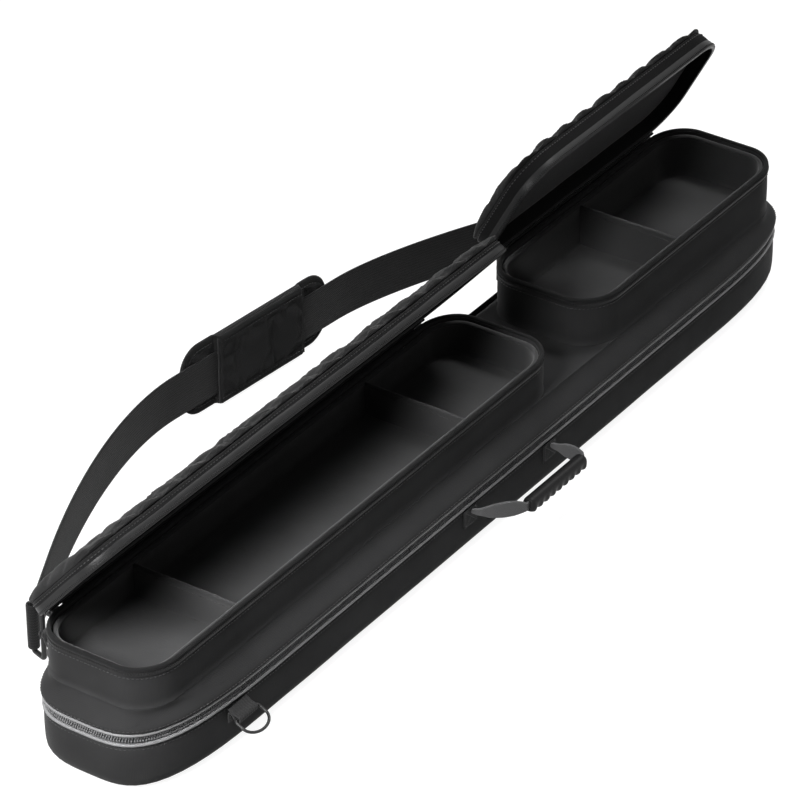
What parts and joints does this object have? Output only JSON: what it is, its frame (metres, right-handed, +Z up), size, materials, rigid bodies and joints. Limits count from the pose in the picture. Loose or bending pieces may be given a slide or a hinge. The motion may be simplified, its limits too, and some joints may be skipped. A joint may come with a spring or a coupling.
{
  "type": "pool cue case",
  "caption": "Long soft-sided cue case with a zipped shell, raised accessory pockets with quilted hinged lids, a side handle and a padded shoulder strap.",
  "frame": {"origin": "middle of the case's flat base, on the surface it lies on", "axes": "+Z up, +Y along the case towards the short pocket, +X towards the carrying handle"},
  "size_m": [0.314, 0.861, 0.2084],
  "materials": {
    "shell_fabric": "tight black woven fabric, slightly worn sheen",
    "lining": "dark brushed lining",
    "foam": "flocked dark foam",
    "piping": "grey piping cord with a soft sheen",
    "zipper_teeth": "grey coil teeth on woven tape",
    "padding": "quilted black fabric",
    "webbing": "black woven webbing",
    "plastic": "black moulded plastic, ribbed on the grip",
    "metal": "black finished metal, worn at the edges"
  },
  "bodies": {
    "lower_case": {"lower_tub": "shell_fabric", "cue_cradle": "foam", "lower_piping": "piping", "lower_zipper_tape": "zipper_teeth", "main_hinge_lower_leaf": "shell_fabric", "handle_near_patch": "webbing", "handle_far_patch": "webbing", "front_ring_tab": "webbing", "strap_near_ring_tab": "webbing", "strap_far_ring_tab": "webbing"},
    "upper_case": {"upper_shell": "shell_fabric", "upper_lining_pad": "lining", "upper_zipper_tape": "zipper_teeth", "upper_piping": "piping", "main_hinge_upper_leaf": "shell_fabric", "long_pocket_wall": "shell_fabric", "long_pocket_rim_tape": "zipper_teeth", "long_pocket_liner": "lining", "long_pocket_divider_1": "lining", "long_pocket_divider_2": "lining", "long_pocket_hinge_leaf": "shell_fabric", "short_pocket_wall": "shell_fabric", "short_pocket_rim_tape": "zipper_teeth", "short_pocket_liner": "lining", "short_pocket_divider_1": "lining", "short_pocket_hinge_leaf": "shell_fabric"},
    "long_lid": {"long_lid_shell": "shell_fabric", "long_lid_quilted_top": "padding", "long_lid_zipper_tape": "piping", "long_lid_lining": "lining", "long_lid_hinge_leaf": "shell_fabric"},
    "short_lid": {"short_lid_shell": "shell_fabric", "short_lid_quilted_top": "padding", "short_lid_zipper_tape": "piping", "short_lid_lining": "lining", "short_lid_hinge_leaf": "shell_fabric"},
    "handle": {"handle_webbing": "webbing", "handle_grip": "plastic"},
    "front_ring": {"front_d_ring": "metal"},
    "strap": {"strap_webbing": "webbing", "strap_near_snap_hook": "metal", "strap_far_snap_hook": "metal", "strap_near_d_ring": "metal", "strap_far_d_ring": "metal"},
    "pad": {"strap_pad": "padding"},
    "adjuster": {"strap_adjuster": "plastic"},
    "near_gate": {"strap_near_hook_gate": "metal"},
    "far_gate": {"strap_far_hook_gate": "metal"},
    "main_front_slider": {"main_front_slider": "metal"},
    "main_front_pull": {"main_front_pull": "metal"},
    "main_back_slider": {"main_back_slider": "metal"},
    "main_back_pull": {"main_back_pull": "metal"},
    "long_near_slider": {"long_near_slider": "metal"},
    "long_near_pull": {"long_near_pull": "metal"},
    "long_far_slider": {"long_far_slider": "metal"},
    "long_far_pull": {"long_far_pull": "metal"},
    "short_near_slider": {"short_near_slider": "metal"},
    "short_near_pull": {"short_near_pull": "metal"},
    "short_far_slider": {"short_far_slider": "metal"},
    "short_far_pull": {"short_far_pull": "metal"}
  },
  "joints": [
    {"name": "shell_opening", "type": "hinge", "parent": "lower_case", "child": "upper_case", "pos_m": [-0.0662, 0, 0.0452], "axis": [0, -1, 0], "range_deg": [0, 75]},
    {"name": "long_lid_hinge", "type": "hinge", "parent": "upper_case", "child": "long_lid", "pos_m": [-0.0531, 0, 0.1005], "axis": [0, 1, 0], "range_deg": [-51, 49]},
    {"name": "short_lid_hinge", "type": "hinge", "parent": "upper_case", "child": "short_lid", "pos_m": [-0.0531, 0, 0.1081], "axis": [0, 1, 0], "range_deg": [-35, 61.9]},
    {"name": "handle_swing", "type": "hinge", "parent": "lower_case", "child": "handle", "pos_m": [0.0667, 0.0045, 0.036], "axis": [0, -1, 0], "range_deg": [-35, 62]},
    {"name": "front_ring_swing", "type": "hinge", "parent": "lower_case", "child": "front_ring", "pos_m": [0.07181, -0.3345, 0.032], "axis": [0, -1, 0], "range_deg": [-50, 100]},
    {"name": "strap_lift", "type": "hinge", "parent": "lower_case", "child": "strap", "pos_m": [-0.07016, 0, 0.031], "axis": [0, -1, 0], "range_deg": [-65, 0]},
    {"name": "pad_slide", "type": "slide", "parent": "strap", "child": "pad", "axis": [0.1059, 0.9944, 0], "range_m": [-0.01, 0.01]},
    {"name": "adjuster_slide", "type": "slide", "parent": "strap", "child": "adjuster", "axis": [-0.4462, -0.8949, 0], "range_m": [-0.012, 0.012]},
    {"name": "near_gate_opening", "type": "hinge", "parent": "strap", "child": "near_gate", "pos_m": [-0.09875, -0.33851, 0.03623], "axis": [0.284, 0.9588, 0], "range_deg": [0, 20]},
    {"name": "far_gate_opening", "type": "hinge", "parent": "strap", "child": "far_gate", "pos_m": [-0.09875, 0.33851, 0.03623], "axis": [-0.284, 0.9588, 0], "range_deg": [0, 20]},
    {"name": "main_front_slider_run", "type": "slide", "parent": "lower_case", "child": "main_front_slider", "axis": [1, 0, 0], "range_m": [0, 0.008]},
    {"name": "main_front_pull_swing", "type": "hinge", "parent": "main_front_slider", "child": "main_front_pull", "pos_m": [0.0055, 0.43235, 0.0432], "axis": [1, 0, 0], "range_deg": [0, 120]},
    {"name": "main_back_slider_run", "type": "slide", "parent": "lower_case", "child": "main_back_slider", "axis": [-1, 0, 0], "range_m": [0, 0.008]},
    {"name": "main_back_pull_swing", "type": "hinge", "parent": "main_back_slider", "child": "main_back_pull", "pos_m": [-0.0055, 0.43235, 0.0432], "axis": [1, 0, 0], "range_deg": [0, 120]},
    {"name": "long_near_slider_run", "type": "slide", "parent": "upper_case", "child": "long_near_slider", "axis": [0, -1, 0], "range_m": [0, 0.008]},
    {"name": "long_near_pull_swing", "type": "hinge", "parent": "long_near_slider", "child": "long_near_pull", "pos_m": [-0.0578, -0.382, 0.0928], "axis": [0, 1, 0], "range_deg": [0, 120]},
    {"name": "long_far_slider_run", "type": "slide", "parent": "upper_case", "child": "long_far_slider", "axis": [0, 1, 0], "range_m": [0, 0.008]},
    {"name": "long_far_pull_swing", "type": "hinge", "parent": "long_far_slider", "child": "long_far_pull", "pos_m": [-0.0578, 0.058, 0.0928], "axis": [0, 1, 0], "range_deg": [0, 120]},
    {"name": "short_near_slider_run", "type": "slide", "parent": "upper_case", "child": "short_near_slider", "axis": [0, -1, 0], "range_m": [0, 0.008]},
    {"name": "short_near_pull_swing", "type": "hinge", "parent": "short_near_slider", "child": "short_near_pull", "pos_m": [-0.0578, 0.1716, 0.1004], "axis": [0, 1, 0], "range_deg": [0, 120]},
    {"name": "short_far_slider_run", "type": "slide", "parent": "upper_case", "child": "short_far_slider", "axis": [0, 1, 0], "range_m": [0, 0.008]},
    {"name": "short_far_pull_swing", "type": "hinge", "parent": "short_far_slider", "child": "short_far_pull", "pos_m": [-0.0578, 0.378, 0.1004], "axis": [0, 1, 0], "range_deg": [0, 120]}
  ]
}
